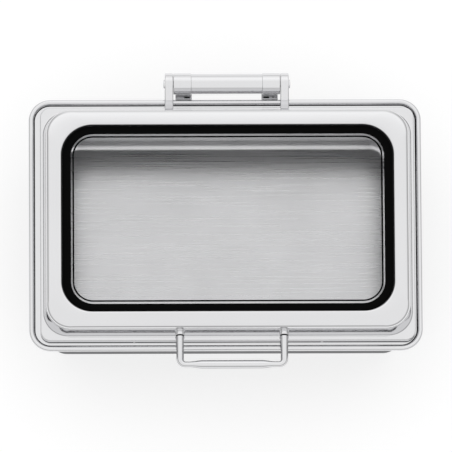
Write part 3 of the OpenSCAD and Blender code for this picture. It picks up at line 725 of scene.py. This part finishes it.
class DISH_OT_handle(Operator):
    """Model the bent front handle, its ferrules and its black rings"""
    bl_idname = "dish.handle"
    bl_label = "Handle"

    def execute(self, context):
        sizes = context.scene.chafing_dish.handle
        finish_of = finishes()
        self.bar(sizes, finish_of["bar_steel"])
        for side in SIDES:
            self.ferrule(sizes, side, finish_of["mirror_steel"])
            self.ring(sizes, side, finish_of["black_rubber_and_painted_shade"])
        return {"FINISHED"}

    def bar(self, sizes, steel):
        """Round bar through the legs, bends and grip."""
        middle = (GRIP_LOW.x + GRIP_HIGH.x) / 2
        height = (GRIP_LOW.z + GRIP_HIGH.z) / 2
        half = (GRIP_HIGH.x - GRIP_LOW.x - sizes.leg) / 2
        axis = GRIP_LOW.y + sizes.grip / 2
        bend = sizes.bend_radius
        thick = sizes.grip_length / 2
        thin = thick + sizes.taper
        route = [(half, GRIP_HIGH.y, 90, sizes.leg), (half, axis + bend, 90, sizes.bend)]
        for step in range(1, ARC_STEPS):
            turn = 90 * step / ARC_STEPS
            route.append((half - bend + bend * cos(radians(turn)), axis + bend - bend * sin(radians(turn)),
                          90 - turn, mix(sizes.bend, sizes.bar, step / ARC_STEPS)))
        route.append((half - bend, axis, 0, sizes.bar))
        route.append(((half - bend + thin) / 2, axis, 0, sizes.bar))
        for step in range(ARC_STEPS + 1):
            share = step / ARC_STEPS
            swell = share * share * (3 - 2 * share)
            route.append((mix(thin, thick, share), axis, 0, mix(sizes.bar, sizes.grip, swell)))
        route += [(-x, y, -turn, thickness) for x, y, turn, thickness in reversed(route)]
        places = [Matrix.Translation((middle + x, y, height)) @ Matrix.Rotation(radians(turn), 4, "Z")
                  @ Matrix.Rotation(radians(90), 4, "Y") @ Matrix.Scale(thickness / 2, 4)
                  for x, y, turn, thickness in route]
        bm = bmesh.new()
        swept(bm, places)
        finish("handle_bar", bm, "lid", [steel], ["handle"])

    def ferrule(self, sizes, side, steel):
        """Short sleeve whose back follows the leaning wall of the lid."""
        node = f"handle_ferrule_{side}"
        low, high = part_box(node)
        lid = bpy.context.scene.chafing_dish.lid
        depth_share = (lid.dome_depth - lid.window_depth) / (lid.dome_width - lid.window_width)
        lean = depth_share * lid.side_lean / lid.side_height
        radius = (high.x - low.x) / 2
        bore = radius / 2
        reach = high.y - low.y + radius
        middle = Vector(((low.x + high.x) / 2, low.y, (low.z + high.z) / 2))
        place = turned_place(middle, 90)
        bm = bmesh.new()
        turned(bm, [(0, bore), (0, radius), (reach, radius), (reach, bore)], place)
        between = mix(bore, radius, 0.5)
        front = [edge for edge in bm.edges
                 if all(abs(vert.co.y - low.y) < MERGE
                        and hypot(vert.co.x - middle.x, vert.co.z - middle.z) > between
                        for vert in edge.verts)]
        bmesh.ops.bevel(bm, geom=front, offset=sizes.ferrule_edge, affect="EDGES", segments=4,
                        profile=0.5, material=-1)
        wall = Vector((middle.x, high.y - lean * radius, middle.z))
        bmesh.ops.bisect_plane(bm, geom=bm.verts[:] + bm.edges[:] + bm.faces[:], plane_co=wall,
                               plane_no=Vector((0, 1, -lean)).normalized(), clear_outer=True)
        bmesh.ops.bridge_loops(bm, edges=[edge for edge in bm.edges if edge.is_boundary])
        finish(f"{node}_sleeve", bm, "lid", [steel], [node])

    def ring(self, sizes, side, silicone):
        """Black ring between the ferrule and the leg."""
        node = f"handle_ring_{side}"
        low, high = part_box(node)
        radius = (high.x - low.x) / 2
        middle = Vector(((low.x + high.x) / 2, low.y, (low.z + high.z) / 2))
        place = turned_place(middle, 90)
        bm = bmesh.new()
        start = -sizes.ring_lap
        end = high.y - low.y
        turned(bm, [(start, radius / 2), (start, radius), (end, radius), (end, radius / 2)], place)
        round_edges(bm, sizes.ring_edge)
        finish(f"{node}_band", bm, "lid", [silicone], [node])


class DISH_OT_hinge(Operator):
    """Model the hinge barrel, its collars, the lid arms and the shaft caps"""
    bl_idname = "dish.hinge"
    bl_label = "Hinge"

    def execute(self, context):
        sizes = context.scene.chafing_dish.hinge
        steel = finishes()["mirror_steel"]
        self.barrel(sizes, steel)
        for name, side in SIDES.items():
            self.collar(sizes, name, side, steel)
            self.arm(sizes, name, steel)
            self.cap(name, side, steel)
            self.bracket(sizes, name, side)
        return {"FINISHED"}

    def barrel(self, sizes, steel):
        """Tube between the collars."""
        low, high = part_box("hinge_barrel")
        half = (high.x - low.x) / 2
        radius = (high.z - low.z) / 2
        bore = radius - sizes.barrel_wall
        bm = bmesh.new()
        turned(bm, [(-half, bore), (-half, radius), (half, radius), (half, bore)], Matrix.Translation(AXIS))
        round_edges(bm, sizes.edge / 4, segments=2)
        finish("hinge_barrel_tube", bm, "dish", [steel], ["hinge_barrel"])

    def collar(self, sizes, name, side, steel):
        """Stepped collar with its spigot in the barrel."""
        node = f"hinge_collar_{name}"
        low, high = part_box(node)
        barrel_low, barrel_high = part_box("hinge_barrel")
        radius = (high.z - low.z) / 2
        bore = sizes.bush / 2
        spigot = (barrel_high.z - barrel_low.z) / 2 - sizes.barrel_wall - MERGE
        total = high.x - low.x
        place = turned_place(AXIS, 90 * (1 - side))
        start = (barrel_high.x - barrel_low.x) / 2 - sizes.spigot
        profile = [(0, bore), (0, spigot), (sizes.spigot, spigot), (sizes.spigot, radius), (total, radius),
                   (total, bore)]
        bm = bmesh.new()
        turned(bm, [(start + along, across) for along, across in profile], place)
        round_edges(bm, sizes.edge)
        finish(f"{node}_sleeve", bm, "dish", [steel], [node])

    def arm(self, sizes, name, steel):
        """Cast arm from the shaft over the rim to the flange of the lid."""
        node = f"hinge_arm_{name}"
        low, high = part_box(node)
        end = sizes.arm_end / 2
        lid = bpy.context.scene.chafing_dish.lid
        flange = LID_LOW.z + lid.skirt_height
        back = LID_HIGH.y
        under = RIM_HIGH.z + sizes.arm_clear
        foot_top = under + sizes.arm_height
        slope = atan((AXIS.z + end - foot_top) / (AXIS.y - low.y))
        bm = bmesh.new()
        start = bm.verts.new((low.x, AXIS.y - end * sin(slope), AXIS.z + end * cos(slope)))
        last = hinge_arc(bm, start, -radians(ARM_WRAP), ROUND_STEPS // 2)
        points = [(back + sizes.arm_tab, under), (back + sizes.arm_tab, low.z), (back, low.z), (back, flange),
                  (low.y, flange), (low.y, foot_top)]
        chain = [last] + [bm.verts.new((low.x, y, z)) for y, z in points] + [start]
        prism(bm, chain, high.x - low.x)
        round_edges(bm, sizes.arm_edge, least=30, segments=4)
        finish(f"{node}_casting", bm, "lid", [steel], [node])

    def cap(self, name, side, steel):
        """Domed cap on the end of the shaft."""
        node = f"shaft_cap_{name}"
        low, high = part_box(node)
        radius = (high.z - low.z) / 2
        total = high.x - low.x
        start = (SHAFT_HIGH.x - SHAFT_LOW.x) / 2
        place = turned_place(AXIS, 90 * (1 - side))
        turns = [radians(90 * step / CAP_STEPS) for step in range(CAP_STEPS + 1)]
        dome = [(total / 2 + total / 2 * sin(turn), radius * cos(turn)) for turn in turns]
        bm = bmesh.new()
        turned(bm, [(start + along, across) for along, across in [(0, 0), (0, radius)] + dome], place)
        finish(f"{node}_dome", bm, "lid", [steel], [node])

    def bracket(self, sizes, name, side):
        """Bracket from the lower wall, under the rim, to the saddle under a collar."""
        node = f"hinge_bracket_{name}"
        low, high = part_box(node)
        collar_low, collar_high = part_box(f"hinge_collar_{name}")
        collar = (collar_high.z - collar_low.z) / 2
        half = high.y - AXIS.y
        plate_low = low.z + sizes.bracket_foot
        plate_high = plate_low + sizes.bracket_plate
        turn = asin(half / collar)
        bm = bmesh.new()
        start = bm.verts.new((low.x, AXIS.y - half, AXIS.z - collar * cos(turn)))
        last = hinge_arc(bm, start, 2 * turn, ARC_STEPS)
        inside = low.y + sizes.bracket_plate
        points = [(high.y, plate_low), (inside, plate_low), (inside, low.z), (low.y, low.z),
                  (low.y, plate_high), (AXIS.y - half, plate_high)]
        prism(bm, [last] + [bm.verts.new((low.x, y, z)) for y, z in points] + [start], high.x - low.x)
        round_edges(bm, sizes.bracket_edge, least=40)
        # The slots and the hole are blind pockets with black floors: painted shade of the darkness seen
        # through real slots.
        slot_x = (low.x + high.x) / 2 - side * (high.x - low.x - sizes.slot_length) / 3
        slot_y = RIM_HIGH.y + sizes.slot_back
        self.pocket(bm, sizes, (slot_x, slot_y, plate_high), sizes.slot_length, sizes.slot_width)
        if side > 0:
            hole_x = low.x + high.x - slot_x
            self.pocket(bm, sizes, (hole_x, slot_y, plate_high), sizes.hole, sizes.hole)
        finish_of = finishes()
        finish(f"{node}_plate", bm, "dish",
               [finish_of["brushed_steel"], finish_of["black_rubber_and_painted_shade"]], [node])

    def pocket(self, bm, sizes, middle, long, wide):
        """Sink a slot with round ends into the flat top face under its middle, and colour its floor and sides
        black as painted shade.
        """
        middle = Vector(middle)

        def top_faces():
            return [face for face in bm.faces if face.normal.z > 0
                    and all(abs(vert.co.z - middle.z) < MERGE for vert in face.verts)]

        for across, reach in ((Vector((1, 0, 0)), long / 2), (Vector((0, 1, 0)), wide / 2)):
            for way in (-1, 1):
                faces = top_faces()
                geom = dict.fromkeys(item for face in faces for item in (face, *face.edges, *face.verts))
                bmesh.ops.bisect_plane(bm, geom=list(geom), plane_co=middle + across * reach * way,
                                       plane_no=across)
        face = min(top_faces(), key=lambda face: (face.calc_center_median() - middle).length)
        corners = list(face.verts)
        bmesh.ops.bevel(bm, geom=corners, offset=wide * SLOT_ROUND, affect="VERTICES", segments=4,
                        profile=0.5, material=-1)
        face = min(top_faces(), key=lambda face: (face.calc_center_median() - middle).length)
        made = bmesh.ops.extrude_face_region(bm, geom=[face])["geom"]
        floor = [item for item in made if isinstance(item, bmesh.types.BMFace)]
        bmesh.ops.delete(bm, geom=[face], context="FACES_ONLY")
        bmesh.ops.translate(bm, verts=floor[0].verts, vec=(0, 0, -sizes.slot_floor))
        # Black floor and sides: painted shade.
        for part in (floor[0], *(other for edge in floor[0].edges for other in edge.link_faces)):
            part.material_index = 1


class DISH_OT_small_parts(Operator):
    """Finish the pieces whose solids already have their shape"""
    bl_idname = "dish.small_parts"
    bl_label = "Small parts"

    def execute(self, context):
        finish_of = finishes()
        dress(finish_of["brushed_steel"], "base_cap", "bracket_studs", "bracket_nuts", "window_retainer",
              "handle_screws", "handle_washers", "arm_screws", "hinge_shaft")
        dress(finish_of["rolled_aluminium"], "base_core")
        dress(finish_of["black_rubber_and_painted_shade"], "window_gasket")
        dress(finish_of["clear_rubber"], "lid_bumpers")
        dress(finish_of["bush_acetal"], "hinge_bush_left", "hinge_bush_right")
        dress(finish_of["damper_nylon"], "damper_left", "damper_right")
        return {"FINISHED"}


class DISH_OT_stage(Operator):
    """Set the floor, the light and the camera"""
    bl_idname = "dish.stage"
    bl_label = "Studio"

    def execute(self, context):
        settings = context.scene.chafing_dish
        context.scene.view_settings.view_transform = "Standard"
        self.floor(settings.colours.floor)
        self.sky(context.scene, settings.studio.sky)
        self.camera(context.scene, settings.studio)
        return {"FINISHED"}

    def floor(self, base):
        """Wide pale floor under the dish."""
        bm = bmesh.new()
        bmesh.ops.create_grid(bm, x_segments=1, y_segments=1, size=FLOOR_REACH)
        mesh = bpy.data.meshes.new("floor")
        bm.to_mesh(mesh)
        bm.free()
        material, tree, shader = new_finish("studio_floor", base, metallic=0, roughness=0.9)
        shader.inputs["Specular IOR Level"].default_value = 0
        shader.inputs["Emission Color"].default_value = (FLOOR_GLOW, FLOOR_GLOW, FLOOR_GLOW, 1)
        path = tree.nodes.new("ShaderNodeLightPath")
        seen = path.outputs["Is Camera Ray"]
        for kind in ("Is Glossy Ray", "Is Transmission Ray"):
            either = tree.nodes.new("ShaderNodeMath")
            either.operation = "MAXIMUM"
            tree.links.new(seen, either.inputs[0])
            tree.links.new(path.outputs[kind], either.inputs[1])
            seen = either.outputs["Value"]
        tree.links.new(seen, shader.inputs["Emission Strength"])
        mesh.materials.append(material)
        made = bpy.data.objects.new("floor", mesh)
        bpy.context.scene.collection.objects.link(made)

    def sky(self, scene, strength):
        """White light tent that is darker at its foot, and brighter behind."""
        world = bpy.data.worlds.new("studio")
        world.use_nodes = True
        tree = world.node_tree
        place = tree.nodes.new("ShaderNodeTexCoord")

        def levels(direction, steps):
            """Grey levels by the share of a direction, from -1 to 1."""
            along = tree.nodes.new("ShaderNodeVectorMath")
            along.operation = "DOT_PRODUCT"
            along.inputs[1].default_value = direction
            spread = tree.nodes.new("ShaderNodeMapRange")
            spread.inputs["From Min"].default_value = -1
            ramp = tree.nodes.new("ShaderNodeValToRGB")
            ramp.color_ramp.interpolation = "EASE"
            marks = ramp.color_ramp.elements
            while len(marks) < len(steps):
                marks.new(1)
            for mark, (share, grey) in zip(marks, steps):
                mark.position = (share + 1) / 2
                mark.color = (grey, grey, grey, 1)
            tree.links.new(place.outputs["Generated"], along.inputs[0])
            tree.links.new(along.outputs["Value"], spread.inputs["Value"])
            tree.links.new(spread.outputs["Result"], ramp.inputs["Fac"])
            return ramp.outputs["Color"]

        both = tree.nodes.new("ShaderNodeMix")
        both.data_type = "RGBA"
        both.blend_type = "MULTIPLY"
        both.inputs["Factor"].default_value = 1
        tree.links.new(levels((0, 0, 1), TENT_LIGHT), both.inputs["A"])
        tree.links.new(levels((0, 1, 0), BACK_LIGHT), both.inputs["B"])
        background = tree.nodes["Background"]
        background.inputs["Strength"].default_value = strength
        tree.links.new(both.outputs["Result"], background.inputs["Color"])
        scene.world = world

    def camera(self, scene, studio):
        """Camera high in front of the dish, looking down on it."""
        look = Vector((sin(studio.side), sin(studio.tilt) * cos(studio.side),
                       -cos(studio.tilt) * cos(studio.side)))
        look.normalize()
        right = look.cross(Vector((0, 1, 0))).normalized()
        up = right.cross(look)
        turn = Matrix.Rotation(-studio.roll, 3, look)
        right = turn @ right
        up = turn @ up
        aim = Vector((0, 0, studio.target_height)) + right * studio.right - up * studio.down
        data = bpy.data.cameras.new("camera")
        data.sensor_width = SENSOR
        data.lens = studio.lens
        data.clip_end = CLIP_END
        made = bpy.data.objects.new("camera", data)
        turned_to = Matrix((right, up, -look)).transposed().to_4x4()
        made.matrix_world = Matrix.Translation(aim - look * studio.distance) @ turned_to
        scene.collection.objects.link(made)
        scene.camera = made


class DISH_PT_panel(Panel):
    """Settings and pieces of the chafing dish"""
    bl_idname = "DISH_PT_panel"
    bl_label = "Chafing dish"
    bl_space_type = "VIEW_3D"
    bl_region_type = "UI"
    bl_category = "Chafing dish"

    def draw(self, context):
        for operator in OPERATORS:
            self.layout.operator(operator.bl_idname)
        for name in DishSettings.__annotations__:
            box = self.layout.box()
            box.label(text=name.replace("_", " ").capitalize())
            settings = getattr(context.scene.chafing_dish, name)
            for setting in settings.__annotations__:
                box.prop(settings, setting)


OPERATORS = (DISH_OT_water_pan, DISH_OT_food_pan, DISH_OT_lid, DISH_OT_window, DISH_OT_handle, DISH_OT_hinge,
             DISH_OT_small_parts, DISH_OT_stage)
CLASSES = (WaterPanSizes, FoodPanSizes, LidSizes, WindowSizes, HandleSizes, HingeSizes, FinishColours,
           StudioSettings, DishSettings, *OPERATORS, DISH_PT_panel)


def register():
    for made in CLASSES:
        bpy.utils.register_class(made)
    bpy.types.Scene.chafing_dish = PointerProperty(type=DishSettings)


def unregister():
    del bpy.types.Scene.chafing_dish
    for made in reversed(CLASSES):
        bpy.utils.unregister_class(made)


def main():
    register()
    bpy.ops.dish.water_pan()
    bpy.ops.dish.food_pan()
    bpy.ops.dish.lid()
    bpy.ops.dish.window()
    bpy.ops.dish.handle()
    bpy.ops.dish.hinge()
    bpy.ops.dish.small_parts()
    bpy.ops.dish.stage()


if __name__ == "__main__":
    main()
